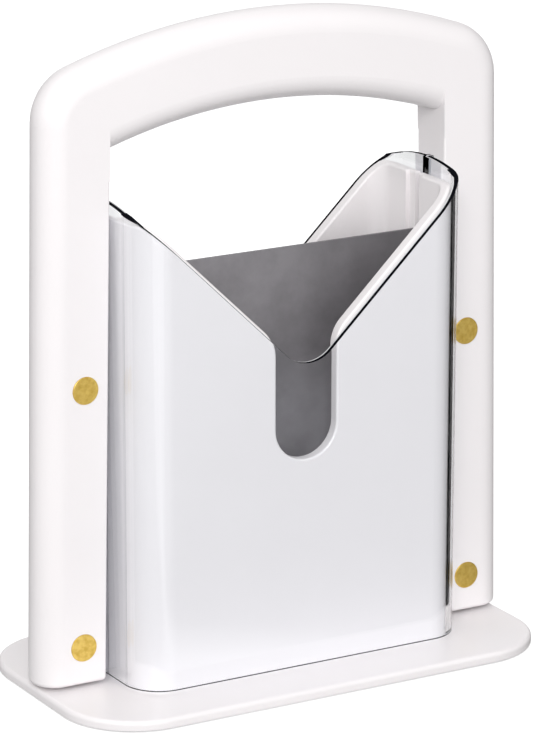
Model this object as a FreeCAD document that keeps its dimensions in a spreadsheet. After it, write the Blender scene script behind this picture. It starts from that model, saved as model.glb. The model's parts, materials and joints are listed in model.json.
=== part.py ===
"""Bagel slicer: a fixed cradle on a base plate, and a carriage of handle, blade and clear shields that
slides down over it. Millimetres, +X right, +Y back, +Z up, origin under the middle of the feet."""
import FreeCAD, Part
import math
import os
import Sketcher

doc = FreeCAD.newDocument("bagel_slicer")

SIZES = [
    ("overall_height", 235.0, "floor to the crown of the handle, carriage down"),
    ("mark_height", 120.0, "height where the leg widths are taken"),
    ("sliding_gap", 0.5, "shield to cradle, each side"),
    ("stack_gap", 0.05, "between neighbouring sheets in a leg slot"),
    ("edge_soften", 0.4, "broken edges of base plate and feet"),
    ("cut_overrun", 10.0, "how far a cutting outline runs past the piece"),

    ("base_width", 186.0, "base plate along X"),
    ("base_depth", 99.0, "base plate along Y"),
    ("base_corner", 28.0, "corner radius in plan"),
    ("base_thickness", 3.6, "sheet of the base plate"),
    ("base_rounding", 1.5, "rounded upper rim of the base plate"),
    ("foot_diameter", 14.0, "rubber disc"),
    ("foot_thickness", 1.8, "rubber disc"),
    ("foot_standoff", 0.6, "how far the feet hold the base plate off the table"),
    ("foot_gap", 0.15, "radial gap of a foot in its recess"),
    ("foot_inset_across", 21.0, "foot centre from the end of the base plate"),
    ("foot_inset_back", 18.5, "foot centre from the front or back of the base plate"),

    ("leg_inner", 67.5, "inner face of a leg from the middle, at the mark height"),
    ("leg_width", 24.5, "leg along X"),
    ("leg_depth", 18.0, "leg and grip along Y"),
    ("leg_lean", 1.054, "degrees each leg spreads towards its foot"),
    ("leg_lift", 1.4, "legs above the base plate, carriage down"),
    ("leg_flat", 1.0, "flat strip left on the half-round outer side"),
    ("leg_inner_rounding", 0.7, "edges of a leg beside the shields"),
    ("leg_end_rounding", 1.5, "lower ends of the legs"),
    ("crown_radius", 235.0, "top of the handle"),
    ("shoulder_radius", 20.0, "from the top of the handle into a leg"),
    ("grip_height", 31.9, "thickness of the grip at the crown"),
    ("grip_radius", 205.0, "underside of the grip"),
    ("grip_rounding", 8.2, "front and rear edge of the underside of the grip"),
    ("grip_corner", 0.8, "inner corner between grip and leg"),
    ("grip_runout", 4.0, "reach of the cut for the rounding into a leg, whose top is then made whole"),
    ("slot_depth", 18.5, "slot in a leg, from its inner face at the mark height"),
    ("slot_headroom", 0.1, "slot above the shield flanges"),

    ("blade_thickness", 1.2, "steel sheet"),
    ("blade_half_width", 85.0, "ends of the blade inside the legs"),
    ("blade_top", 149.4, "upper edge of the blade, carriage down"),
    ("blade_ear_bottom", 6.5, "lower end of the part inside the legs"),
    ("blade_corner", 2.0, "rounded corners of the sheet"),
    ("heel_outer", 66.0, "outer side of the heel that stops the carriage"),
    ("heel_inner", 59.5, "inner side of the heel"),
    ("heel_gap", 0.05, "heel above the base plate, carriage down"),
    ("edge_side_height", 9.0, "cutting edge beside the heel"),
    ("edge_middle_height", 17.0, "cutting edge in the middle"),
    ("grind_width", 3.0, "width of the ground bevel"),
    ("grind_depth", 0.45, "depth of the ground bevel"),
    ("scallop_radius", 3.2, "scallops along the cutting edge"),
    ("scallop_bite", 0.7, "depth of a scallop"),
    ("scallop_pitch", 4.8, "from one scallop to the next"),

    ("shield_half_width", 65.7, "outer face of an end wall from the middle"),
    ("shield_half_depth", 29.0, "outer face of the front wall from the middle"),
    ("shield_sheet", 2.2, "clear sheet"),
    ("shield_corner", 13.5, "outer corner radius in plan"),
    ("shield_bottom", 5.2, "lower edge, carriage down"),
    ("shield_top", 175.2, "top of the end walls in the middle plane"),
    ("shield_top_radius", 75.0, "arched top of the end walls"),
    ("shield_notch", 110.6, "where the two sides of the V would meet"),
    ("notch_rise", 0.9637, "rise of the V sides per millimetre across"),
    ("notch_radius", 12.5, "bottom of the V"),
    ("notch_shoulder", 0.3, "V sides end this far inside the end walls"),
    ("notch_runout", 5.0, "rounding that turns the V sides up into the end walls"),
    ("flange_sheet", 1.15, "out-turned flange in the leg slot"),
    ("flange_reach", 84.0, "outer end of a flange from the middle"),
    ("flange_bottom", 6.5, "lower end of a flange"),

    ("cradle_wall", 4.4, "front wall"),
    ("cradle_end_wall", 3.8, "end walls"),
    ("cradle_inner_corner", 6.0, "inner corner radius in plan"),
    ("cradle_top", 169.7, "top of the end walls"),
    ("cradle_notch", 112.4, "where the two sides of the V would meet"),
    ("cradle_top_rounding", 3.0, "where the V runs out into the end walls"),
    ("rim_rounding", 0.8, "rounded edges of the mouth"),
    ("finger_half_width", 12.1, "half the finger notch"),
    ("finger_bottom", 80.4, "lowest point of the finger notch"),
    ("finger_flat", 0.2, "flat left at the bottom of the finger notch"),
    ("finger_mouth_radius", 12.5, "where the finger notch opens into the V"),
    ("end_groove", 10.0, "groove for the blade's heels inside the end walls, both halves together"),
    ("end_lip", 2.2, "wall left outside the groove, which closes in to the slit"),
    ("slit", 2.4, "slit for the blade between the two cradles"),
    ("seat_height", 20.0, "lowest line of the curved bagel seat"),
    ("seat_radius", 110.0, "curved bagel seat"),
    ("seat_sheet", 3.0, "thickness of the seat"),
    ("web_sheet", 2.5, "wall beside the blade, under the seat"),
    ("boss_diameter", 8.0, "screw boss under the seat"),
    ("boss_across", 38.0, "boss centre from the middle along X"),
    ("boss_back", 13.0, "boss centre from the middle along Y"),
    ("boss_sink", 0.05, "boss top under the surface of the seat"),

    ("screw_diameter", 2.7, "shank"),
    ("screw_length", 14.0, "over all"),
    ("screw_tip", 1.8, "pointed end"),
    ("screw_head_diameter", 6.6, "countersunk head"),
    ("screw_head_rim", 0.4, "straight rim of the head"),
    ("screw_sink", 0.1, "head below the underside of the base plate"),
    ("screw_pilot", 2.8, "hole in a boss"),
    ("pilot_runout", 0.8, "pilot hole past the tip of the screw"),
    ("screw_clearance_hole", 3.4, "hole in the base plate"),
    ("countersink_gap", 0.1, "radial gap round the screw head"),
    ("recess_length", 3.6, "cross recess in the head"),
    ("recess_width", 0.8, "cross recess in the head"),
    ("recess_depth", 1.1, "cross recess in the head"),

    ("rivet_inset", 8.8, "rivet from the inner face of its leg"),
    ("rivet_upper", 111.5, "height of the upper rivets"),
    ("rivet_lower", 19.1, "height of the lower rivets"),
    ("rivet_head_diameter", 9.8, "brass head"),
    ("rivet_head_thickness", 1.9, "brass head"),
    ("rivet_head_proud", 0.3, "head above the face of the leg"),
    ("rivet_head_rounding", 0.3, "rounded rim of the head"),
    ("rivet_seat_gap", 0.05, "radial gap of a head in its counterbore"),
    ("rivet_hole", 5.0, "hole through a leg"),
    ("rivet_sheet_hole", 5.2, "hole through the blade and the flanges"),
    ("barrel_diameter", 4.9, "tube of the rear half"),
    ("barrel_bore", 3.0, "bore of the rear half"),
    ("post_diameter", 2.96, "pin of the front half"),
    ("rivet_end_gap", 0.8, "tip of pin or tube from the other head"),
]

sheet = doc.addObject("Spreadsheet::Sheet", "Sizes")
for row, (alias, size, note) in enumerate(SIZES, start=1):
    sheet.set(f"A{row}", alias)
    sheet.set(f"B{row}", str(size))
    sheet.set(f"C{row}", note)
    sheet.setAlias(f"B{row}", alias)
doc.recompute()

# Heights and places that follow from the sheet, as expressions
OVERRUN = "Sizes.cut_overrun"
BASE_TOP = "(Sizes.foot_standoff + Sizes.base_thickness)"
FOOT_RECESS = "(Sizes.foot_thickness - Sizes.foot_standoff)"
FOOT_ACROSS = "(Sizes.base_width / 2 - Sizes.foot_inset_across)"
FOOT_BACK = "(Sizes.base_depth / 2 - Sizes.foot_inset_back)"
COUNTERSINK_MOUTH = ("(Sizes.screw_head_diameter / 2 + Sizes.screw_head_rim + Sizes.screw_sink"
                     " + Sizes.countersink_gap)")
COUNTERSINK = f"({COUNTERSINK_MOUTH} - Sizes.screw_clearance_hole / 2)"
LEG_BOTTOM = f"({BASE_TOP} + Sizes.leg_lift)"
HALF_LEG = "(Sizes.leg_depth / 2)"
GRIP_UNDERSIDE = "(Sizes.overall_height - Sizes.grip_height)"
SHIELD_INNER_WIDTH = "(Sizes.shield_half_width - Sizes.shield_sheet)"
SHIELD_INNER_DEPTH = "(Sizes.shield_half_depth - Sizes.shield_sheet)"
SHIELD_INNER_CORNER = "(Sizes.shield_corner - Sizes.shield_sheet)"
FLANGE_BACK = "(Sizes.blade_thickness / 2 + Sizes.stack_gap)"
FLANGE_FRONT = f"({FLANGE_BACK} + Sizes.flange_sheet)"
SLOT_WIDTH = f"(2 * {FLANGE_FRONT} + 2 * Sizes.stack_gap)"
SLOT_END = "(Sizes.leg_inner + Sizes.slot_depth)"
SLOT_TOP = "(Sizes.shield_top + Sizes.slot_headroom)"
CRADLE_HALF_WIDTH = f"({SHIELD_INNER_WIDTH} - Sizes.sliding_gap)"
CRADLE_HALF_DEPTH = f"({SHIELD_INNER_DEPTH} - Sizes.sliding_gap)"
CRADLE_CORNER = f"({SHIELD_INNER_CORNER} - Sizes.sliding_gap)"
CAVITY_HALF_WIDTH = f"({CRADLE_HALF_WIDTH} - Sizes.cradle_end_wall)"
CAVITY_HALF_DEPTH = f"({CRADLE_HALF_DEPTH} - Sizes.cradle_wall)"
HALF_SLIT = "(Sizes.slit / 2)"
SCREW_BOTTOM = "(Sizes.foot_standoff + Sizes.screw_sink)"
COUNTERBORE = "(Sizes.rivet_head_thickness - Sizes.rivet_head_proud)"
RIVET_REACH = f"(2 * ({HALF_LEG} - {COUNTERBORE}) - Sizes.rivet_end_gap)"
UP = FreeCAD.Vector(0, 0, 1)
SAME_PLACE = 0.001
LEAST_CUT = 0.01


def number(expression):
    """The value of an expression over the sheet."""
    return float(sheet.evalExpression(expression))


def spot(across, up):
    """A point of a sketch from two expressions."""
    return FreeCAD.Vector(number(across), number(up), 0)


def leg_line(inset, height):
    """Distance from the middle of a line inside a leg, which leans with the leg."""
    return f"(Sizes.leg_inner + {inset} + tan(Sizes.leg_lean) * (Sizes.mark_height - {height}))"


def bowl_height(lowest, radius, across):
    """Height of a sagging arc at a distance from the middle."""
    return f"({lowest} + {radius} - sqrt({radius} ^ 2 - {across} ^ 2))"


def rivet_places():
    """Name, distance across and height of the four rivets."""
    for level in ("upper", "lower"):
        height = f"Sizes.rivet_{level}"
        across = leg_line("Sizes.rivet_inset", height)
        yield f"{level}_left", f"(-{across})", height
        yield f"{level}_right", across, height


def corner_places(across, back):
    """Name, X and Y of four places mirrored about the middle."""
    for along, back_sign in (("front", "-"), ("rear", "")):
        for side, across_sign in (("left", "-"), ("right", "")):
            yield f"{along}_{side}", f"({across_sign}{across})", f"({back_sign}{back})"


def mirrored(points):
    """A right-hand run of corners, then the same run on the left in reverse order."""
    left = [(f"(-{across})", up, *rest) for across, up, *rest in reversed(points)]
    return points + left


# Bodies, sketches and features


def new_body(name):
    body = doc.addObject("PartDesign::Body", name)
    body.Label = name
    return body


def settle(feature):
    """Recompute, and stop at the first feature that fails."""
    doc.recompute()
    if {"Invalid", "Error"} & set(feature.State):
        raise RuntimeError(f"{feature.Label} failed: {feature.State}")
    return feature


def new_sketch(body, name, plane, lift="0"):
    """Empty sketch on one of the body's own origin planes, lifted along the plane's normal."""
    sketch = body.newObject("Sketcher::SketchObject", name)
    origin_plane = next(p for p in body.Origin.OriginFeatures if p.Role == plane)
    sketch.AttachmentSupport = [(origin_plane, "")]
    sketch.MapMode = "FlatFace"
    sketch.setExpression("AttachmentOffset.Base.z", lift)
    return sketch


def add_line(sketch, start, end):
    return sketch.addGeometry(Part.LineSegment(start, end), False)


def add_arc(sketch, centre, radius, first, last):
    """Arc about a centre, counter-clockwise from the first point to the last."""
    angles = [math.atan2(p.y - centre.y, p.x - centre.x) for p in (first, last)]
    if angles[1] < angles[0]:
        angles[1] += 2 * math.pi
    return sketch.addGeometry(Part.ArcOfCircle(Part.Circle(centre, UP, radius), *angles), False)


def tie(sketch, kind, *args):
    """Constraint without a size."""
    sketch.addConstraint(Sketcher.Constraint(kind, *args))


def bind(sketch, kind, *args):
    """Dimension whose last argument is an expression over the sheet."""
    index = sketch.addConstraint(Sketcher.Constraint(kind, *args[:-1], number(args[-1])))
    sketch.setExpression(f"Constraints[{index}]", args[-1])


def bind_point(sketch, piece, end, across, up):
    bind(sketch, "DistanceX", -1, 1, piece, end, across)
    bind(sketch, "DistanceY", -1, 1, piece, end, up)


def add_circle(sketch, across, up, diameter):
    circle = Part.Circle(spot(across, up), UP, number(diameter) / 2)
    piece = sketch.addGeometry(circle, False)
    bind_point(sketch, piece, 3, across, up)
    bind(sketch, "Diameter", piece, diameter)


def add_outline(sketch, corners):
    """Closed outline through corners of expressions (across, up) or (across, up, rounding)."""
    places = [spot(*corner[:2]) for corner in corners]
    arrivals, departures = [], []
    for here, corner in enumerate(corners):
        ahead = (places[(here + 1) % len(places)] - places[here]).normalize()
        behind = (places[here - 1] - places[here]).normalize()
        trim = number(corner[2]) / math.tan(ahead.getAngle(behind) / 2) if len(corner) > 2 else 0
        arrivals.append(places[here] + behind * trim)
        departures.append(places[here] + ahead * trim)
    lines = [add_line(sketch, start, end) for start, end in zip(departures, arrivals[1:] + arrivals[:1])]
    for here, corner in enumerate(corners):
        before, after = lines[here - 1], lines[here]
        if len(corner) > 2:
            add_rounding(sketch, before, after, arrivals[here], departures[here], corner)
        else:
            tie(sketch, "Coincident", before, 2, after, 1)
            bind_point(sketch, after, 1, *corner)


def add_rounding(sketch, before, after, arrival, departure, corner):
    """Tangent arc between two lines, and the unrounded corner as the point that is dimensioned."""
    across, up, rounding = corner
    place = spot(across, up)
    inward = ((arrival + departure) * 0.5 - place).normalize()
    centre = place + inward * math.hypot(number(rounding), arrival.distanceToPoint(place))
    left_turn = (place - arrival).cross(departure - place).z > 0
    first, last = (arrival, departure) if left_turn else (departure, arrival)
    arc = add_arc(sketch, centre, number(rounding), first, last)
    point = sketch.addGeometry(Part.Point(place), True)
    near, far = (1, 2) if left_turn else (2, 1)
    tie(sketch, "Tangent", before, 2, arc, near)
    tie(sketch, "Tangent", arc, far, after, 1)
    tie(sketch, "PointOnObject", point, 1, before)
    tie(sketch, "PointOnObject", point, 1, after)
    bind(sketch, "Radius", arc, rounding)
    bind_point(sketch, point, 1, across, up)


def add_bowed_outline(sketch, corners, radius, centre_height):
    """Closed outline of straight lines through the corners, and an arc from the last to the first."""
    places = [spot(*corner) for corner in corners]
    lines = [add_line(sketch, start, end) for start, end in zip(places, places[1:])]
    arc = add_arc(sketch, spot("0", centre_height), number(radius), places[-1], places[0])
    for before, after in zip(lines, lines[1:]):
        tie(sketch, "Coincident", before, 2, after, 1)
    tie(sketch, "Coincident", lines[-1], 2, arc, 1)
    tie(sketch, "Coincident", arc, 2, lines[0], 1)
    for line, corner in zip(lines, corners):
        bind_point(sketch, line, 1, *corner)
    bind_point(sketch, arc, 1, *corners[-1])
    bind(sketch, "Radius", arc, radius)


def add_arched_outline(sketch, foot, bottom, crown, crown_radius, shoulder):
    """Closed outline of two leaning sides joined over the top by one arc with rounded shoulders."""
    crown_centre = spot("0", f"({crown} - {crown_radius})")
    corner_radius = number(shoulder)
    lean = math.tan(math.radians(number("Sizes.leg_lean")))
    reach = number(crown_radius) - corner_radius
    across = number(foot) - lean * (number(crown) - number(bottom)) - corner_radius
    corner_height = crown_centre.y + math.sqrt(reach ** 2 - across ** 2)
    corners = [FreeCAD.Vector(sign * across, corner_height, 0) for sign in (1, -1)]
    touches = [corner + (corner - crown_centre).normalize() * corner_radius for corner in corners]
    crown_arc = add_arc(sketch, crown_centre, number(crown_radius), *touches)
    sides = []
    for sign, corner, touch in zip((1, -1), corners, touches):
        low = FreeCAD.Vector(sign * number(foot), number(bottom), 0)
        high = corner + FreeCAD.Vector(sign * corner_radius, 0, 0)
        side = add_line(sketch, low, high)
        near, far = (1, 2) if sign > 0 else (2, 1)
        arc = add_arc(sketch, corner, corner_radius, *((high, touch) if sign > 0 else (touch, high)))
        tie(sketch, "Tangent", side, 2, arc, near)
        tie(sketch, "Tangent", arc, far, crown_arc, near)
        bind(sketch, "Radius", arc, shoulder)
        bind_point(sketch, side, 1, f"({sign} * {foot})", bottom)
        bind(sketch, "Angle", side, f"90 + {sign} * Sizes.leg_lean")
        sides.append(side)
    tie(sketch, "PointOnObject", crown_arc, 3, -2)
    bind(sketch, "Radius", crown_arc, crown_radius)
    bind(sketch, "DistanceY", -1, 1, crown_arc, 3, f"{crown} - {crown_radius}")
    floor = add_line(sketch, spot(f"(-{foot})", bottom), spot(foot, bottom))
    tie(sketch, "Coincident", floor, 1, sides[1], 1)
    tie(sketch, "Coincident", floor, 2, sides[0], 1)


def add_rivet_circles(sketch, diameter):
    for _, across, up in rivet_places():
        add_circle(sketch, across, up, diameter)


def extrude(kind, body, name, sketch, length, both_ways, reverse):
    feature = body.newObject(f"PartDesign::{kind}", name)
    feature.Profile = sketch
    feature.SideType = "Symmetric" if both_ways else "One side"
    feature.Reversed = reverse
    feature.setExpression("Length", length)
    return settle(feature)


def pad(body, name, sketch, length, both_ways=False):
    return extrude("Pad", body, name, sketch, length, both_ways, False)


def pocket(body, name, sketch, length, both_ways=False, reverse=False):
    """A cut, which has to take something away."""
    before = body.Shape.Volume
    feature = extrude("Pocket", body, name, sketch, length, both_ways, reverse)
    if body.Shape.Volume > before - LEAST_CUT:
        raise RuntimeError(f"{name} cuts nothing")
    return feature


def revolve(body, name, sketch):
    feature = body.newObject("PartDesign::Revolution", name)
    feature.Profile = sketch
    feature.ReferenceAxis = (sketch, ["V_Axis"])
    feature.Angle = 360
    return settle(feature)


def dress(kind, body, name, size, wanted):
    """Fillet or chamfer on the edges that the test picks."""
    base = body.Tip
    edges = [f"Edge{i}" for i, edge in enumerate(base.Shape.Edges, start=1) if wanted(edge)]
    if not edges:
        raise RuntimeError(f"{name} finds no edge")
    feature = body.newObject(f"PartDesign::{kind}", name)
    feature.Base = (base, edges)
    feature.setExpression("Radius" if kind == "Fillet" else "Size", size)
    return settle(feature)


def at_level(axis, level):
    """Test for an edge that lies wholly at one level of an axis (0, 1 or 2)."""
    def test(edge):
        box = edge.BoundBox
        low, high = [(box.XMin, box.XMax), (box.YMin, box.YMax), (box.ZMin, box.ZMax)][axis]
        return abs(low - level) < SAME_PLACE and abs(high - level) < SAME_PLACE
    return test


def rim_above(shape, level):
    """Test for an edge between a face that lies above a level and one that doesn't."""
    high_faces = [face for face in shape.Faces if face.BoundBox.ZMin > level]

    def test(edge):
        return sum(any(edge.isSame(side) for side in face.Edges) for face in high_faces) == 1
    return test


def place(body, across="0", back="0", up="0"):
    body.setExpression("Placement.Base.x", across)
    body.setExpression("Placement.Base.y", back)
    body.setExpression("Placement.Base.z", up)


def turned_round(body):
    """The rear one of two equal mouldings faces the other way."""
    body.Placement.Rotation = FreeCAD.Rotation(UP, 180)
    return body


# The holder: base plate, feet, cradles and their screws


def base_plate():
    body = new_body("base_plate")
    outline = new_sketch(body, "plate_outline", "XY_Plane", "Sizes.foot_standoff")
    half_width, half_depth = "(Sizes.base_width / 2)", "(Sizes.base_depth / 2)"
    add_outline(outline, mirrored([(half_width, f"(-{half_depth})", "Sizes.base_corner"),
                                   (half_width, half_depth, "Sizes.base_corner")]))
    pad(body, "plate", outline, "Sizes.base_thickness")
    underside = number("Sizes.foot_standoff")
    dress("Fillet", body, "upper_rim", "Sizes.base_rounding", at_level(2, number(BASE_TOP)))
    dress("Fillet", body, "lower_rim", "Sizes.edge_soften", at_level(2, underside))
    recesses = new_sketch(body, "foot_recess_circles", "XY_Plane", "Sizes.foot_standoff")
    for _, across, back in corner_places(FOOT_ACROSS, FOOT_BACK):
        add_circle(recesses, across, back, "Sizes.foot_diameter + 2 * Sizes.foot_gap")
    pocket(body, "foot_recesses", recesses, FOOT_RECESS, reverse=True)
    holes = new_sketch(body, "screw_hole_circles", "XY_Plane", "Sizes.foot_standoff")
    for _, across, back in corner_places("Sizes.boss_across", "Sizes.boss_back"):
        add_circle(holes, across, back, "Sizes.screw_clearance_hole")
    pocket(body, "screw_holes", holes, f"Sizes.base_thickness + {OVERRUN}", reverse=True)
    mouth_length = math.pi * number("Sizes.screw_clearance_hole")

    def hole_mouth(edge):
        return at_level(2, underside)(edge) and abs(edge.Length - mouth_length) < SAME_PLACE

    dress("Chamfer", body, "countersinks", COUNTERSINK, hole_mouth)
    return body


def foot(name, across, back):
    body = new_body(f"foot_{name}")
    disc = new_sketch(body, "disc_circle", "XY_Plane")
    add_circle(disc, "0", "0", "Sizes.foot_diameter")
    pad(body, "disc", disc, "Sizes.foot_thickness")
    dress("Fillet", body, "lower_edge", "Sizes.edge_soften", at_level(2, 0))
    place(body, across, back)
    return body


def cradle(name):
    """One half of the bagel holder, drawn as the front half."""
    body = new_body(name)
    outline = new_sketch(body, "block_outline", "XY_Plane", BASE_TOP)
    add_outline(outline, mirrored([(CRADLE_HALF_WIDTH, f"(-{CRADLE_HALF_DEPTH})", CRADLE_CORNER),
                                   (CRADLE_HALF_WIDTH, f"(-{HALF_SLIT})")]))
    pad(body, "block", outline, f"Sizes.cradle_top + {OVERRUN} - {BASE_TOP}")
    hollow_bagel_space(body)
    hollow_under_seat(body)
    cut_end_grooves(body)
    cut_cradle_mouth(body)
    add_cradle_bosses(body)
    return body


def hollow_bagel_space(body):
    """Space for half a bagel over a curved seat."""
    outline = new_sketch(body, "bagel_space_outline", "XZ_Plane", CAVITY_HALF_DEPTH)
    side = bowl_height("Sizes.seat_height", "Sizes.seat_radius", CAVITY_HALF_WIDTH)
    sky = f"(Sizes.cradle_top + 2 * {OVERRUN})"
    add_bowed_outline(outline, mirrored([(CAVITY_HALF_WIDTH, side), (CAVITY_HALF_WIDTH, sky)]),
                      "Sizes.seat_radius", "(Sizes.seat_height + Sizes.seat_radius)")
    pocket(body, "bagel_space", outline, CAVITY_HALF_DEPTH)
    half_width, half_depth = number(CAVITY_HALF_WIDTH), number(CAVITY_HALF_DEPTH)

    def inner_corner(edge):
        return at_level(1, -half_depth)(edge) and any(at_level(0, x)(edge) for x in (-half_width, half_width))

    dress("Fillet", body, "inner_corners", "Sizes.cradle_inner_corner", inner_corner)


def hollow_under_seat(body):
    """Room under the seat, which leaves the seat and the web beside the blade."""
    outline = new_sketch(body, "under_seat_outline", "XZ_Plane", CAVITY_HALF_DEPTH)
    lowest, radius = "(Sizes.seat_height - Sizes.seat_sheet)", "(Sizes.seat_radius + Sizes.seat_sheet)"
    side = bowl_height(lowest, radius, CAVITY_HALF_WIDTH)
    below = f"({BASE_TOP} - {OVERRUN})"
    add_bowed_outline(outline, mirrored([(CAVITY_HALF_WIDTH, side), (CAVITY_HALF_WIDTH, below)]),
                      radius, "(Sizes.seat_height + Sizes.seat_radius)")
    pocket(body, "under_seat", outline, f"{CAVITY_HALF_DEPTH} - {HALF_SLIT} - Sizes.web_sheet")


def cut_end_grooves(body):
    """A groove inside each end wall, beside the slit, gives the blade's heels room."""
    outlines = new_sketch(body, "end_groove_outlines", "XY_Plane", BASE_TOP)
    front, back = "(-Sizes.end_groove / 2)", OVERRUN
    for sign in ("", "-"):
        near, far = f"({sign}{CAVITY_HALF_WIDTH})", f"({sign}({CRADLE_HALF_WIDTH} - Sizes.end_lip))"
        add_outline(outlines, [(near, front), (far, front), (far, back), (near, back)])
    pocket(body, "end_grooves", outlines, f"Sizes.cradle_top + 2 * {OVERRUN}", reverse=True)


def cut_cradle_mouth(body):
    """V mouth, level top of the end walls and finger notch, in one cut from front to back."""
    outline = new_sketch(body, "mouth_outline", "XZ_Plane")
    notch_radius = "(Sizes.finger_half_width - Sizes.finger_flat / 2)"
    mouth_corner = "(Sizes.cradle_notch + Sizes.notch_rise * Sizes.finger_half_width)"
    top_corner = "((Sizes.cradle_top - Sizes.cradle_notch) / Sizes.notch_rise)"
    outside, sky = f"({CRADLE_HALF_WIDTH} + {OVERRUN})", f"(Sizes.cradle_top + 2 * {OVERRUN})"
    add_outline(outline, mirrored([("Sizes.finger_half_width", "Sizes.finger_bottom", notch_radius),
                                   ("Sizes.finger_half_width", mouth_corner, "Sizes.finger_mouth_radius"),
                                   (top_corner, "Sizes.cradle_top", "Sizes.cradle_top_rounding"),
                                   (outside, "Sizes.cradle_top"), (outside, sky)]))
    pocket(body, "mouth", outline, f"{CRADLE_HALF_DEPTH} + {OVERRUN}", reverse=True)
    rim = rim_above(body.Tip.Shape, number("Sizes.finger_bottom - Sizes.rim_rounding"))
    dress("Fillet", body, "mouth_rim", "Sizes.rim_rounding", rim)


def add_cradle_bosses(body):
    """Screw bosses from the base plate up into the seat, with pilot holes."""
    bosses = new_sketch(body, "boss_circles", "XY_Plane", BASE_TOP)
    pilots = new_sketch(body, "pilot_circles", "XY_Plane", BASE_TOP)
    for sign in ("", "-"):
        add_circle(bosses, f"({sign}Sizes.boss_across)", "(-Sizes.boss_back)", "Sizes.boss_diameter")
        add_circle(pilots, f"({sign}Sizes.boss_across)", "(-Sizes.boss_back)", "Sizes.screw_pilot")
    nearest = "(Sizes.boss_across - Sizes.boss_diameter / 2)"
    seat = bowl_height("Sizes.seat_height", "Sizes.seat_radius", nearest)
    pad(body, "bosses", bosses, f"{seat} - Sizes.boss_sink - {BASE_TOP}")
    depth = f"{SCREW_BOTTOM} + Sizes.screw_length + Sizes.pilot_runout - {BASE_TOP}"
    pocket(body, "pilots", pilots, depth, reverse=True)


def cradle_screw(name, across, back):
    """Countersunk screw, pointing up from the underside of the base plate."""
    body = new_body(f"cradle_screw_{name}")
    profile = new_sketch(body, "screw_profile", "XZ_Plane")
    head, shank = "(Sizes.screw_head_diameter / 2)", "(Sizes.screw_diameter / 2)"
    add_outline(profile, [("0", "0"), (head, "0"), (head, "Sizes.screw_head_rim"),
                          (shank, f"(Sizes.screw_head_rim + {head} - {shank})"),
                          (shank, "(Sizes.screw_length - Sizes.screw_tip)"), ("0", "Sizes.screw_length")])
    revolve(body, "screw", profile)
    long_half, short_half = "(Sizes.recess_length / 2)", "(Sizes.recess_width / 2)"
    for arm, wide, high in (("across", long_half, short_half), ("along", short_half, long_half)):
        recess = new_sketch(body, f"recess_{arm}_outline", "XY_Plane")
        add_outline(recess, mirrored([(wide, f"(-{high})"), (wide, high)]))
        pocket(body, f"recess_{arm}", recess, "Sizes.recess_depth", reverse=True)
    place(body, across, back, SCREW_BOTTOM)
    return body


# The carriage: shields, blade, handle frame and rivets


def shield(name):
    """One clear guard with flanges that reach into the leg slots, drawn as the front one."""
    body = new_body(name)
    outline = new_sketch(body, "guard_outline", "XY_Plane", "Sizes.shield_bottom")
    outside = mirrored([("Sizes.flange_reach", f"(-{FLANGE_BACK})"),
                        ("Sizes.flange_reach", f"(-{FLANGE_FRONT})"),
                        ("Sizes.shield_half_width", f"(-{FLANGE_FRONT})"),
                        ("Sizes.shield_half_width", "(-Sizes.shield_half_depth)", "Sizes.shield_corner")])
    inside = mirrored([(SHIELD_INNER_WIDTH, f"(-{FLANGE_BACK})"),
                       (SHIELD_INNER_WIDTH, f"(-{SHIELD_INNER_DEPTH})", SHIELD_INNER_CORNER)])
    add_outline(outline, outside + inside[::-1])
    pad(body, "guard", outline, "Sizes.shield_top - Sizes.shield_bottom")
    trim_flanges(body)
    arch_end_walls(body)
    cut_shield_notch(body)
    holes = new_sketch(body, "rivet_hole_circles", "XZ_Plane")
    add_rivet_circles(holes, "Sizes.rivet_sheet_hole")
    pocket(body, "rivet_holes", holes, f"{FLANGE_FRONT} + Sizes.stack_gap", reverse=True)
    return body


def trim_flanges(body):
    """The flanges start above the lower edge of the guard."""
    outlines = new_sketch(body, "flange_trim_outlines", "XZ_Plane")
    below = f"(-{OVERRUN})"
    for sign in ("", "-"):
        near, far = f"({sign}Sizes.shield_half_width)", f"({sign}(Sizes.flange_reach + {OVERRUN}))"
        add_outline(outlines, [(near, below), (far, below),
                               (far, "Sizes.flange_bottom"), (near, "Sizes.flange_bottom")])
    pocket(body, "flange_trims", outlines, f"{FLANGE_FRONT} + Sizes.stack_gap", reverse=True)


def arch_end_walls(body):
    """The end walls are arched: highest in the middle plane, falling towards the corner."""
    outline = new_sketch(body, "end_wall_arch_outline", "YZ_Plane")
    radius, front = "Sizes.shield_top_radius", f"(Sizes.shield_half_depth + {OVERRUN})"
    low = f"(Sizes.shield_top - {bowl_height('0', radius, front)})"
    high = f"(Sizes.shield_top + {OVERRUN})"
    add_bowed_outline(outline, [(f"(-{front})", low), (f"(-{front})", high), ("0", high),
                                ("0", "Sizes.shield_top")], radius, f"(Sizes.shield_top - {radius})")
    pocket(body, "end_wall_arch", outline, f"2 * (Sizes.flange_reach + {OVERRUN})", both_ways=True)


def cut_shield_notch(body):
    """V notch in the front wall, running out into the corners."""
    outline = new_sketch(body, "notch_outline", "XZ_Plane")
    side = f"({SHIELD_INNER_WIDTH} - Sizes.notch_shoulder)"
    side_height, sky = f"(Sizes.shield_notch + Sizes.notch_rise * {side})", f"(Sizes.shield_top + {OVERRUN})"
    add_outline(outline, [("0", "Sizes.shield_notch", "Sizes.notch_radius"),
                          *mirrored([(side, side_height, "Sizes.notch_runout"), (side, sky)])])
    pocket(body, "notch", outline, f"Sizes.shield_half_depth + {OVERRUN}", reverse=True)


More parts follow.
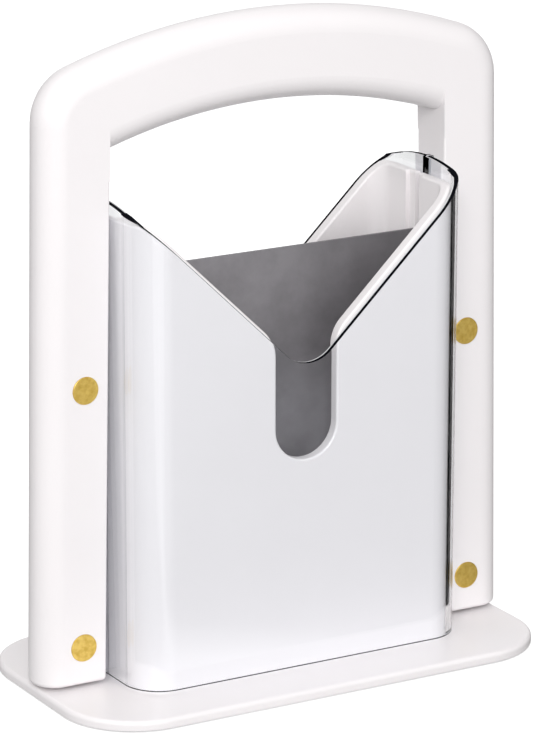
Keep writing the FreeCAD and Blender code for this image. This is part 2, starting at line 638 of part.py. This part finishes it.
def blade():
    """Sheet steel with ears in the leg slots, two heels and a scalloped cutting edge between them."""
    body = new_body("blade")
    outline = new_sketch(body, "blade_outline", "XZ_Plane")
    heel_bottom = f"({BASE_TOP} + Sizes.heel_gap)"
    right_side = [("Sizes.heel_inner", "Sizes.edge_side_height"), ("Sizes.heel_inner", heel_bottom),
                  ("Sizes.heel_outer", heel_bottom), ("Sizes.heel_outer", "Sizes.blade_ear_bottom"),
                  ("Sizes.blade_half_width", "Sizes.blade_ear_bottom", "Sizes.blade_corner"),
                  ("Sizes.blade_half_width", "Sizes.blade_top", "Sizes.blade_corner")]
    add_outline(outline, [("0", "Sizes.edge_middle_height"), *mirrored(right_side)])
    pad(body, "sheet_metal", outline, "Sizes.blade_thickness", both_ways=True)
    grind_bevels(body)
    cut_scallops(body)
    holes = new_sketch(body, "rivet_hole_circles", "XZ_Plane")
    add_rivet_circles(holes, "Sizes.rivet_sheet_hole")
    pocket(body, "rivet_holes", holes, f"Sizes.blade_thickness + {OVERRUN}", both_ways=True)
    return body


def grind_bevels(body):
    """Wide, shallow bevel on both faces along the cutting edge."""
    half = number("Sizes.blade_thickness / 2")
    side, middle = number("Sizes.edge_side_height"), number("Sizes.edge_middle_height")

    def cutting_edge(edge):
        on_face = at_level(1, half)(edge) or at_level(1, -half)(edge)
        box = edge.BoundBox
        return on_face and abs(box.ZMin - side) < SAME_PLACE and abs(box.ZMax - middle) < SAME_PLACE

    bevel = dress("Chamfer", body, "bevel", "Sizes.grind_depth", cutting_edge)
    bevel.ChamferType = "Two distances"
    bevel.setExpression("Size2", "Sizes.grind_width")
    settle(bevel)


def cut_scallops(body):
    """Row of shallow round bites that follows the slope of the cutting edge."""
    circles = new_sketch(body, "scallop_circles", "XZ_Plane")
    pitch = number("Sizes.scallop_pitch")
    count = int((2 * number("Sizes.heel_inner") - pitch) / pitch)
    slope = "((Sizes.edge_middle_height - Sizes.edge_side_height) / Sizes.heel_inner)"
    for index in range(count):
        across = f"({index - (count - 1) / 2} * Sizes.scallop_pitch)"
        edge_height = f"(Sizes.edge_middle_height - {slope} * abs({across}))"
        up = f"({edge_height} + Sizes.scallop_bite - Sizes.scallop_radius)"
        add_circle(circles, across, up, "2 * Sizes.scallop_radius")
    pocket(body, "scallops", circles, f"Sizes.blade_thickness + {OVERRUN}", both_ways=True)


def handle_frame():
    """Arched handle and two legs in one moulding."""
    body = new_body("handle_frame")
    outside = new_sketch(body, "outside_outline", "XZ_Plane")
    add_arched_outline(outside, leg_line("Sizes.leg_width", LEG_BOTTOM), LEG_BOTTOM,
                       "Sizes.overall_height", "Sizes.crown_radius", "Sizes.shoulder_radius")
    pad(body, "arch", outside, "Sizes.leg_depth", both_ways=True)
    inside = new_sketch(body, "inside_outline", "XZ_Plane")
    below = f"({LEG_BOTTOM} - {OVERRUN})"
    add_arched_outline(inside, leg_line("0", below), below, GRIP_UNDERSIDE,
                       "Sizes.grip_radius", "Sizes.grip_corner")
    pocket(body, "hand_gap", inside, f"Sizes.leg_depth + {OVERRUN}", both_ways=True)
    round_handle(body)
    round_grip(body)
    fill_leg_tops(body)
    slots = new_sketch(body, "slot_outlines", "XZ_Plane")
    for sign in ("", "-"):
        near, far = f"({sign}(Sizes.leg_inner - {OVERRUN}))", f"({sign}{SLOT_END})"
        add_outline(slots, [(near, below), (far, below), (far, SLOT_TOP), (near, SLOT_TOP)])
    pocket(body, "sheet_slots", slots, SLOT_WIDTH, both_ways=True)
    cut_rivet_seats(body)
    return body


def round_grip(body):
    """Nearly half-round underside of the grip, cut about the centre of its arc and into both legs."""
    profile = new_sketch(body, "grip_underside_profile", "YZ_Plane")
    centre_height = f"({GRIP_UNDERSIDE} - Sizes.grip_radius)"
    axis_ends = ("0", centre_height), (HALF_LEG, centre_height)
    axis = add_line(profile, *(spot(*end) for end in axis_ends))
    profile.setConstruction(axis, True)
    for end, place_of_end in enumerate(axis_ends, start=1):
        bind_point(profile, axis, end, *place_of_end)
    outside, low = f"({HALF_LEG} + {OVERRUN})", f"({GRIP_UNDERSIDE} - Sizes.grip_corner)"
    top = f"({GRIP_UNDERSIDE} + Sizes.grip_rounding + {OVERRUN})"
    add_outline(profile, mirrored([(outside, low), (outside, top), (HALF_LEG, top),
                                   (HALF_LEG, GRIP_UNDERSIDE, "Sizes.grip_rounding")]))
    before = body.Shape.Volume
    cut = body.newObject("PartDesign::Groove", "grip_underside")
    cut.Profile = profile
    cut.ReferenceAxis = (profile, ["Axis0"])
    cut.Midplane = True
    across = leg_line("Sizes.grip_runout", GRIP_UNDERSIDE)
    cut.setExpression("Angle", f"2 * asin({across} / Sizes.grip_radius)")
    settle(cut)
    if body.Shape.Volume > before - LEAST_CUT:
        raise RuntimeError("grip_underside cuts nothing")


def fill_leg_tops(body):
    """The tops of the legs made whole, so that the rounding of the grip ends on their inner faces."""
    outlines = new_sketch(body, "leg_top_outlines", "XZ_Plane")
    low = f"({GRIP_UNDERSIDE} - 2 * {OVERRUN})"
    high = f"({GRIP_UNDERSIDE} + Sizes.grip_rounding / 2)"
    near_low, near_high = leg_line("0", low), leg_line("0", high)
    far_low, far_high = leg_line("(2 * Sizes.grip_runout)", low), leg_line("(2 * Sizes.grip_runout)", high)
    for sign in ("", "-"):
        add_outline(outlines, [(f"({sign}{near_low})", low), (f"({sign}{far_low})", low),
                               (f"({sign}{far_high})", high), (f"({sign}{near_high})", high)])
    pad(body, "leg_tops", outlines, "Sizes.leg_depth", both_ways=True)


def round_handle(body):
    """Half-round outer side, softly rounded inner side and lower ends."""
    half_depth, bottom = number(HALF_LEG), number(LEG_BOTTOM)
    mid_leg = number("Sizes.leg_inner + Sizes.leg_width / 2")
    mid_grip = number("Sizes.overall_height - Sizes.grip_height / 2")

    def along_face(edge):
        return at_level(1, half_depth)(edge) or at_level(1, -half_depth)(edge)

    def outer(edge):
        middle = edge.valueAt((edge.FirstParameter + edge.LastParameter) / 2)
        return abs(middle.x) > mid_leg or middle.z > mid_grip

    def upright(edge):
        return along_face(edge) and not at_level(2, bottom)(edge)

    dress("Fillet", body, "outer_side", f"{HALF_LEG} - Sizes.leg_flat / 2",
          lambda edge: upright(edge) and outer(edge))
    dress("Fillet", body, "inner_side", "Sizes.leg_inner_rounding",
          lambda edge: upright(edge) and not outer(edge))
    dress("Fillet", body, "leg_ends", "Sizes.leg_end_rounding", at_level(2, bottom))


def cut_rivet_seats(body):
    """Through holes in the legs, with a counterbore for a rivet head on both faces."""
    holes = new_sketch(body, "rivet_hole_circles", "XZ_Plane")
    add_rivet_circles(holes, "Sizes.rivet_hole")
    pocket(body, "rivet_holes", holes, f"Sizes.leg_depth + {OVERRUN}", both_ways=True)
    floor = f"({HALF_LEG} - {COUNTERBORE})"
    for face, lift, outward in (("front", floor, True), ("rear", f"(-{floor})", False)):
        seats = new_sketch(body, f"{face}_seat_circles", "XZ_Plane", lift)
        add_rivet_circles(seats, "Sizes.rivet_head_diameter + 2 * Sizes.rivet_seat_gap")
        pocket(body, f"{face}_rivet_seats", seats, f"{COUNTERBORE} + {OVERRUN}", reverse=outward)


def rivet_half(body, shaft_corners):
    """Turned rivet half along Y: a head whose inner side lies on the X axis, and a shaft beyond it."""
    profile = new_sketch(body, "profile", "XY_Plane")
    head, face = "(Sizes.rivet_head_diameter / 2)", "(-Sizes.rivet_head_thickness)"
    head_corners = [("0", face), (head, face, "Sizes.rivet_head_rounding"), (head, "0")]
    add_outline(profile, head_corners + shaft_corners)
    revolve(body, "turned", profile)


def rivet_post(name, across, up):
    """Front half of a two-piece rivet: a head in the counterbore and a solid pin pointing back."""
    body = new_body(f"rivet_post_{name}")
    pin = "(Sizes.post_diameter / 2)"
    rivet_half(body, [(pin, "0"), (pin, RIVET_REACH), ("0", RIVET_REACH)])
    place(body, across, f"({COUNTERBORE} - {HALF_LEG})", up)
    return body


def rivet_barrel(name, across, up):
    """Rear half: a head with a tube that the pin is pressed into."""
    body = new_body(f"rivet_barrel_{name}")
    tube, bore = "(Sizes.barrel_diameter / 2)", "(Sizes.barrel_bore / 2)"
    rivet_half(body, [(tube, "0"), (tube, RIVET_REACH), (bore, RIVET_REACH), (bore, "0"), ("0", "0")])
    place(body, across, f"({HALF_LEG} - {COUNTERBORE})", up)
    return turned_round(body)


pieces = [base_plate(), cradle("front_cradle"), turned_round(cradle("rear_cradle"))]
pieces += [foot(*where) for where in corner_places(FOOT_ACROSS, FOOT_BACK)]
pieces += [cradle_screw(*where) for where in corner_places("Sizes.boss_across", "Sizes.boss_back")]
pieces += [handle_frame(), blade(), shield("front_shield"), turned_round(shield("rear_shield"))]
pieces += [rivet_post(*where) for where in rivet_places()]
pieces += [rivet_barrel(*where) for where in rivet_places()]

doc.recompute()
for item in doc.Objects:
    if {"Invalid", "Error"} & set(item.State):
        raise RuntimeError(f"{item.Label}: {item.State}")
for piece in pieces:
    if piece.Shape.isNull() or not piece.Shape.isValid() or len(piece.Shape.Solids) != 1:
        raise RuntimeError(f"{piece.Label} is not one valid solid")

os.makedirs("parts", exist_ok=True)
for piece in pieces:
    piece.Shape.exportStep(f"parts/{piece.Label}.step")
    print(f"{piece.Label}: {piece.Shape.Volume:.1f} mm3")
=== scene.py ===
"""Bagel slicer dressed for the camera: white mouldings, clear shields, a dark coated blade and brass
rivets. Metres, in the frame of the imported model: +X right, +Y back, +Z up, floor at zero."""
import json
import math

import bmesh
import bpy
from mathutils import Matrix, Vector

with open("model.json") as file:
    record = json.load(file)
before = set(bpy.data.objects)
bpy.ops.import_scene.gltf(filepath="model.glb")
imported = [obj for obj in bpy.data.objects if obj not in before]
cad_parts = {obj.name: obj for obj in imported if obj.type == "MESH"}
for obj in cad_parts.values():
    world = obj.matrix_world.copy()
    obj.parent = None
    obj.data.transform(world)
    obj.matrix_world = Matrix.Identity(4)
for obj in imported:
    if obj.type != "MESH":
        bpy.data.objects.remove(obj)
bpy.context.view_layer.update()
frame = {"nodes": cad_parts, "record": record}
scene = bpy.context.scene
nodes = frame["nodes"]

# Camera
CAMERA_AZIMUTH = math.radians(-29.86)
CAMERA_ELEVATION = math.radians(16.25)
CAMERA_ROLL = math.radians(0.095)
CAMERA_DISTANCE = 1.456
CAMERA_TARGET = Vector((-0.00046, 0.0, 0.1064))
FRAME_HEIGHT = 736
FOCAL_LENGTH = 4156
SENSOR = 24.0
AHEAD = Vector((-math.sin(CAMERA_AZIMUTH), math.cos(CAMERA_AZIMUTH), 0.0))
ACROSS = Vector((math.cos(CAMERA_AZIMUTH), math.sin(CAMERA_AZIMUTH), 0.0))

# Colours of the materials
WHITE_PLASTIC = (0.90, 0.868, 0.876)
WHITE_PLASTIC_DULL = (0.885, 0.853, 0.861)
BLADE_COAT = (0.13, 0.124, 0.132)
BLADE_COAT_LIGHT = (0.165, 0.158, 0.168)
BRASS = (0.98, 0.71, 0.19)
BRASS_TARNISHED = (0.8, 0.53, 0.1)
ZINC = (0.48, 0.48, 0.47)
ZINC_LIGHT = (0.66, 0.66, 0.65)
RUBBER = (0.55, 0.55, 0.54)
RUBBER_LIGHT = (0.66, 0.66, 0.65)
CLEAR = (0.985, 0.992, 1.0)
CLEAR_STRAIGHT = (0.975, 0.985, 0.995)
# Painted shade and painted highlight on the rims of the clear shields
RIM_PAINTED_SHADE = (0.006, 0.006, 0.009)
RIM_PAINTED_HIGHLIGHT = (0.72, 0.72, 0.73)

# Stretch of a noise that a colour or a roughness runs over
COLOUR_CLOUDS = (0.35, 0.65)
ROUGHNESS_CLOUDS = (0.3, 0.7)

# Growth of the blade's colour, painted light that makes it paler to the left and lower down, and the
# places in metres that it grows between
BLADE_PAINTED_LIGHT_LEFT = 0.78
BLADE_PAINTED_LIGHT_LEFT_PLACES = (0.042, -0.03)
BLADE_PAINTED_LIGHT_LOW = 1.2
BLADE_PAINTED_LIGHT_LOW_PLACES = (0.112, 0.078)

# Places on the clear shields, in metres, for the painted shade and painted highlight on their rims
SHIELD_HALF_WIDTH = 0.0657
SHIELD_HALF_DEPTH = 0.029
SHIELD_CORNER = 0.0135
SHIELD_SHEET = 0.0022
SHIELD_ARCH_CENTRE = 0.1002
SHIELD_ARCH_RADIUS = 0.075
# Width of the painted shade line along the arched top of the shields
PAINTED_ARCH_SHADE_WIDTH = 0.0004
RIM_ROUNDING = 0.0006
JOINT_GAP = 0.0008
JOINT_FACING = 0.9
SAME_PLACE = 0.00005

# Floor, surroundings and lamps
FLOOR_HALF = 3.0
FLOOR_SEEN = 0.8
FLOOR_TABLE = 0.34
FLOOR_GLOW = 0.6
BACKDROP_GLOW = 0.95
BACKDROP_SPREAD = math.tan(math.radians(22.0))
BACKDROP_START = -0.149
BACKDROP_BLUR = 0.02
AMBIENT = 0.9
DARK_ROOM = 0.012
DARK_BEHIND = 0.004
LAMPS = [
    ("key", (-0.9, -1.2, 0.9), 0.8, 13.7),
    ("low_front", (0.0, -1.7, 0.35), 0.8, 4.8),
    ("left_side", (-1.6, -0.1, 0.7), 0.9, 1.5),
]
LAMP_AIM = Vector((0.0, 0.0, 0.11))


def add_camera():
    away = Vector((math.sin(CAMERA_AZIMUTH) * math.cos(CAMERA_ELEVATION),
                   -math.cos(CAMERA_AZIMUTH) * math.cos(CAMERA_ELEVATION),
                   math.sin(CAMERA_ELEVATION)))
    up = away.cross(ACROSS)
    turn = Matrix((ACROSS, up, away)).transposed().to_4x4()
    data = bpy.data.cameras.new("camera")
    data.sensor_fit = "VERTICAL"
    data.sensor_height = SENSOR
    data.lens = SENSOR * FOCAL_LENGTH / FRAME_HEIGHT
    camera = bpy.data.objects.new("camera", data)
    roll = Matrix.Rotation(CAMERA_ROLL, 4, "Z")
    camera.matrix_world = Matrix.Translation(CAMERA_TARGET + CAMERA_DISTANCE * away) @ turn @ roll
    scene.collection.objects.link(camera)
    scene.camera = camera


class Network:
    """One node tree, with small arithmetic on its sockets."""

    def __init__(self, tree):
        self.tree = tree

    def plug(self, value, socket):
        """Sets the socket to a number, a vector or an RGB triple, or links another socket to it."""
        if isinstance(value, (int, float)):
            socket.default_value = value
        elif isinstance(value, (tuple, Vector)):
            socket.default_value = (*value, 1.0) if socket.type == "RGBA" else tuple(value)
        else:
            self.tree.links.new(value, socket)

    def node(self, kind, inputs=(), **settings):
        """New node with its settings, and with the named or numbered inputs plugged."""
        made = self.tree.nodes.new(kind)
        for key, value in settings.items():
            setattr(made, key, value)
        for key, value in dict(inputs).items():
            self.plug(value, made.inputs[key])
        return made

    def math(self, operation, *values):
        return self.node("ShaderNodeMath", enumerate(values), operation=operation).outputs[0]

    def hypotenuse(self, first, second):
        squares = (self.math("MULTIPLY", side, side) for side in (first, second))
        return self.math("SQRT", self.math("ADD", *squares))

    def dot(self, first, second):
        inputs = {0: first, 1: second}
        return self.node("ShaderNodeVectorMath", inputs, operation="DOT_PRODUCT").outputs["Value"]

    def scale(self, vector, factor):
        inputs = {0: vector, "Scale": factor}
        return self.node("ShaderNodeVectorMath", inputs, operation="SCALE").outputs["Vector"]

    def split(self, vector):
        return self.node("ShaderNodeSeparateXYZ", {"Vector": vector}).outputs[:]

    def remap(self, value, low, high, start=0.0, end=1.0):
        """The value's stretch from low to high spread over start to end, which it doesn't leave."""
        inputs = {"Value": value, "From Min": low, "From Max": high, "To Min": start, "To Max": end}
        return self.node("ShaderNodeMapRange", inputs).outputs["Result"]

    def mix(self, factor, first, second):
        return self.node("ShaderNodeMixShader", {0: factor, 1: first, 2: second}).outputs["Shader"]


class Shader(Network):
    """Network of one material, with the few nodes that the materials here share."""

    def __init__(self, name):
        self.material = bpy.data.materials.new(name)
        self.material.use_nodes = True
        super().__init__(self.material.node_tree)
        self.tree.nodes.clear()
        self.output = self.node("ShaderNodeOutputMaterial")
        self.place = self.node("ShaderNodeTexCoord").outputs["Object"]

    def noise(self, scale, detail=2.0, roughness=0.5):
        inputs = {"Vector": self.place, "Scale": scale, "Detail": detail, "Roughness": roughness}
        return self.node("ShaderNodeTexNoise", inputs).outputs["Fac"]

    def blend(self, factor, first, second):
        """Mix of two colours, each an RGB triple or a socket."""
        inputs = {"Factor": factor, 6: first, 7: second}
        return self.node("ShaderNodeMix", inputs, data_type="RGBA").outputs[2]

    def bump(self, height, strength, distance):
        inputs = {"Height": height, "Strength": strength, "Distance": distance}
        return self.node("ShaderNodeBump", inputs).outputs["Normal"]

    def principled(self, **inputs):
        named = {name.replace("_", " "): value for name, value in inputs.items()}
        return self.node("ShaderNodeBsdfPrincipled", named).outputs["BSDF"]

    def finish(self, surface):
        self.plug(surface, self.output.inputs["Surface"])
        return self.material


def white_plastic():
    """Injection-moulded white plastic: satin gloss, faint cloudiness and a very fine orange peel."""
    shader = Shader("white_plastic")
    cloud = shader.remap(shader.noise(14.0, detail=3.0), *COLOUR_CLOUDS)
    colour = shader.blend(cloud, WHITE_PLASTIC_DULL, WHITE_PLASTIC)
    roughness = shader.remap(shader.noise(55.0), *ROUGHNESS_CLOUDS, 0.30, 0.38)
    peel = shader.bump(shader.noise(900.0, detail=1.0), 0.12, 0.0002)
    return shader.finish(shader.principled(Base_Color=colour, Roughness=roughness, Normal=peel, IOR=1.5))


def coated_steel():
    """Dark non-stick coating on the blade: satin, with a faint mottle and a fine grain. Painted light
    makes it paler on the left and lower down."""
    shader = Shader("coated_steel")
    mottle = shader.remap(shader.noise(60.0, detail=5.0, roughness=0.65), *COLOUR_CLOUDS)
    across, _, up = shader.split(shader.place)
    # Painted light: the colour grows towards the left and lower down
    painted_light_left = shader.math("MULTIPLY", shader.remap(across, *BLADE_PAINTED_LIGHT_LEFT_PLACES), BLADE_PAINTED_LIGHT_LEFT)
    low = shader.math("MULTIPLY", shader.remap(up, *BLADE_PAINTED_LIGHT_LOW_PLACES), BLADE_PAINTED_LIGHT_LOW)
    painted_light_growth = shader.math("ADD", shader.math("ADD", painted_light_left, low), 1.0)
    colour = shader.scale(shader.blend(mottle, BLADE_COAT, BLADE_COAT_LIGHT), painted_light_growth)
    roughness = shader.remap(shader.noise(300.0, detail=3.0), *ROUGHNESS_CLOUDS, 0.42, 0.52)
    grain = shader.bump(shader.noise(1800.0, detail=2.0), 0.2, 0.0001)
    return shader.finish(shader.principled(Base_Color=colour, Roughness=roughness, Normal=grain, IOR=1.6))


def worn_brass():
    """Brass with brown tarnish in clouds."""
    shader = Shader("rivet_brass")
    mottle = shader.noise(420.0, detail=4.0, roughness=0.6)
    colour = shader.blend(shader.remap(mottle, 0.35, 0.62), BRASS_TARNISHED, BRASS)
    roughness = shader.remap(mottle, *ROUGHNESS_CLOUDS, 0.55, 0.38)
    scuffs = shader.bump(shader.noise(900.0, detail=3.0), 0.3, 0.0002)
    surface = shader.principled(Base_Color=colour, Roughness=roughness, Normal=scuffs, Metallic=0.75)
    return shader.finish(surface)


def zinc_steel():
    shader = Shader("screw_steel")
    colour = shader.blend(shader.noise(500.0, detail=3.0), ZINC, ZINC_LIGHT)
    return shader.finish(shader.principled(Base_Color=colour, Roughness=0.32, Metallic=1.0))


def pale_rubber():
    shader = Shader("foot_rubber")
    colour = shader.blend(shader.noise(150.0, detail=3.0), RUBBER, RUBBER_LIGHT)
    grain = shader.bump(shader.noise(1500.0), 0.3, 0.0002)
    return shader.finish(shader.principled(Base_Color=colour, Roughness=0.6, Normal=grain))


def depth_in_sheet(net, across, back):
    """Distance outside a shield's outer face in plan, negative inside the sheet of the wall."""
    past_across = net.math("SUBTRACT", net.math("ABSOLUTE", across), SHIELD_HALF_WIDTH - SHIELD_CORNER)
    past_back = net.math("SUBTRACT", net.math("ABSOLUTE", back), SHIELD_HALF_DEPTH - SHIELD_CORNER)
    outside = net.hypotenuse(*(net.math("MAXIMUM", past, 0.0) for past in (past_across, past_back)))
    inside = net.math("MINIMUM", net.math("MAXIMUM", past_across, past_back), 0.0)
    return net.math("SUBTRACT", net.math("ADD", outside, inside), SHIELD_CORNER)


def painted_arch_shade_line(net, back, up):
    """Mask of a painted dark line: 1 on the arched top of a shield's corner and just under it, and 0
    elsewhere.
    """
    above = net.math("MAXIMUM", net.math("SUBTRACT", up, SHIELD_ARCH_CENTRE), 0.0)
    near_top = net.math("GREATER_THAN", net.hypotenuse(back, above), SHIELD_ARCH_RADIUS - PAINTED_ARCH_SHADE_WIDTH)
    corner = net.math("GREATER_THAN", net.math("ABSOLUTE", back), SHIELD_HALF_DEPTH - SHIELD_CORNER)
    return net.math("MULTIPLY", near_top, corner)


def clear_plastic():
    """Clear polished plastic. Its rims carry a painted shade, a near-black diffuse in place of the dark
    edges that the sheet shows, with a painted highlight along the rounding on the inside. Light for what
    stands behind the plastic goes straight through, and so does the view where the two shields meet."""
    shader = Shader("clear_plastic")
    across, back, up = shader.split(shader.place)
    depth = depth_in_sheet(shader, across, back)
    # Painted shade: a dark line along the arched top of the corners
    painted_arch_shade = painted_arch_shade_line(shader, back, up)
    in_wall = shader.math("MULTIPLY", shader.math("LESS_THAN", depth, -SAME_PLACE),
                          shader.math("GREATER_THAN", depth, SAME_PLACE - SHIELD_SHEET))
    # Painted shade on the rims of the sheet and along the arched top
    painted_rim_mask = shader.math("MAXIMUM", in_wall, painted_arch_shade)
    rounding = shader.math("LESS_THAN", depth, RIM_ROUNDING - SHIELD_SHEET)
    # Painted highlight along the rounding inside the rims
    painted_highlight = shader.math("MULTIPLY", rounding, shader.math("SUBTRACT", 1.0, painted_arch_shade))
    painted_rim_colour = shader.blend(painted_highlight, RIM_PAINTED_SHADE, RIM_PAINTED_HIGHLIGHT)
    painted_rim_shader = shader.node("ShaderNodeBsdfDiffuse", {"Color": painted_rim_colour}).outputs["BSDF"]
    ripple = shader.bump(shader.noise(18.0, detail=1.0), 0.03, 0.002)
    glass = shader.principled(Base_Color=CLEAR, Roughness=0.0, IOR=1.5, Transmission_Weight=1.0,
                              Normal=ripple)
    sheet = shader.mix(painted_rim_mask, glass, painted_rim_shader)
    _, facing_back, _ = shader.split(shader.node("ShaderNodeNewGeometry").outputs["True Normal"])
    joint = shader.math("MULTIPLY", shader.math("LESS_THAN", shader.math("ABSOLUTE", back), JOINT_GAP),
                        shader.math("GREATER_THAN", shader.math("ABSOLUTE", facing_back), JOINT_FACING))
    path = shader.node("ShaderNodeLightPath").outputs
    light = shader.math("MAXIMUM", path["Is Shadow Ray"], path["Is Diffuse Ray"])
    clear = shader.node("ShaderNodeBsdfTransparent", {"Color": CLEAR_STRAIGHT}).outputs["BSDF"]
    return shader.finish(shader.mix(shader.math("MAXIMUM", joint, light), sheet, clear))


def dress_nodes():
    slots = {part["node"]: part["material_slot"] for part in frame["record"]["subparts"]}
    makers = {"white_plastic": white_plastic, "coated_steel": coated_steel, "rivet_brass": worn_brass,
              "screw_steel": zinc_steel, "foot_rubber": pale_rubber, "clear_plastic": clear_plastic}
    materials = {slot: maker() for slot, maker in makers.items()}
    for name, node in nodes.items():
        node.data.materials.clear()
        node.data.materials.append(materials[slots[name]])


def behind_object(net, path, place, start):
    """1 inside the wedge that opens behind the object, seen from the camera, and 0 outside it. Rays out
    of clear plastic find the same wedge on the near side too, for a look at the object from behind."""
    ahead = net.math("SUBTRACT", net.dot(place, AHEAD), start)
    near_side = net.math("MULTIPLY", net.math("SUBTRACT", 0.0, ahead), path["Is Transmission Ray"])
    aside = net.math("ABSOLUTE", net.dot(place, ACROSS))
    reach = net.math("MULTIPLY", net.math("MAXIMUM", ahead, near_side), BACKDROP_SPREAD)
    return net.remap(net.math("SUBTRACT", reach, aside), -BACKDROP_BLUR, BACKDROP_BLUR)


def reflected(net, path):
    """1 for a ray off a glossy surface. A ray out of clear plastic counts as glossy too, but isn't one."""
    not_through = net.math("SUBTRACT", 1.0, path["Is Transmission Ray"])
    return net.math("MULTIPLY", path["Is Glossy Ray"], not_through)


def reflected_or_through(net, path):
    return net.math("MAXIMUM", path["Is Transmission Ray"], path["Is Glossy Ray"])


def floor_white():
    """White to the camera, and white behind the object in gloss and through clear plastic. To light that
    it throws on the object, and in gloss in front of the object, it is a grey table."""
    shader = Shader("floor_white")
    path = shader.node("ShaderNodeLightPath").outputs
    seen = path["Is Camera Ray"]
    in_front = shader.remap(shader.dot(shader.place, AHEAD), BACKDROP_BLUR, -BACKDROP_BLUR)
    in_gloss = shader.math("MULTIPLY", reflected(shader, path), in_front)
    table = shader.math("MAXIMUM", path["Is Diffuse Ray"], in_gloss)
    shade = shader.math("MAXIMUM", shader.math("MULTIPLY", seen, FLOOR_SEEN),
                        shader.math("MULTIPLY", table, FLOOR_TABLE))
    colour = shader.math("MAXIMUM", shade, DARK_BEHIND)
    backdrop = shader.math("MULTIPLY", reflected_or_through(shader, path),
                           behind_object(shader, path, shader.place, BACKDROP_START))
    strength = shader.math("ADD", shader.math("MULTIPLY", seen, FLOOR_GLOW),
                           shader.math("MULTIPLY", backdrop, BACKDROP_GLOW))
    diffuse = shader.node("ShaderNodeBsdfDiffuse", {"Color": colour}).outputs["BSDF"]
    glow = shader.node("ShaderNodeEmission", {"Strength": strength}).outputs["Emission"]
    return shader.finish(shader.node("ShaderNodeAddShader", {0: diffuse, 1: glow}).outputs["Shader"])


def add_floor():
    mesh = bpy.data.meshes.new("floor")
    shape = bmesh.new()
    corners = [(-1, -1), (1, -1), (1, 1), (-1, 1)]
    shape.faces.new([shape.verts.new((x * FLOOR_HALF, y * FLOOR_HALF, 0.0)) for x, y in corners])
    shape.to_mesh(mesh)
    shape.free()
    floor = bpy.data.objects.new("floor", mesh)
    scene.collection.objects.link(floor)
    floor.data.materials.append(floor_white())


def add_world():
    """White to the camera. Gloss and clear plastic find a white backdrop behind the object, between dark
    surroundings, which draws their edges dark."""
    world = bpy.data.worlds.new("studio")
    scene.world = world
    world.use_nodes = True
    world.node_tree.nodes.clear()
    net = Network(world.node_tree)
    path = net.node("ShaderNodeLightPath").outputs
    direction = net.node("ShaderNodeTexCoord").outputs["Generated"]
    backdrop = net.math("MULTIPLY", behind_object(net, path, direction, 0.0), BACKDROP_GLOW)
    dark = net.math("ADD", net.math("MULTIPLY", reflected(net, path), DARK_ROOM), DARK_BEHIND)
    room = net.math("MULTIPLY", reflected_or_through(net, path), net.math("ADD", backdrop, dark))
    ambient = net.math("MULTIPLY", path["Is Diffuse Ray"], AMBIENT)
    strength = net.math("MAXIMUM", net.math("MAXIMUM", path["Is Camera Ray"], room), ambient)
    light = net.node("ShaderNodeBackground", {"Strength": strength}).outputs["Background"]
    net.node("ShaderNodeOutputWorld", {"Surface": light})


def add_lamps():
    for name, place, size, power in LAMPS:
        data = bpy.data.lights.new(name, "AREA")
        data.shape = "SQUARE"
        data.size = size
        data.energy = power
        lamp = bpy.data.objects.new(name, data)
        lamp.location = place
        lamp.rotation_euler = (LAMP_AIM - lamp.location).to_track_quat("-Z", "Y").to_euler()
        scene.collection.objects.link(lamp)


add_camera()
dress_nodes()
add_floor()
add_world()
add_lamps()
scene.view_settings.view_transform = "Standard"
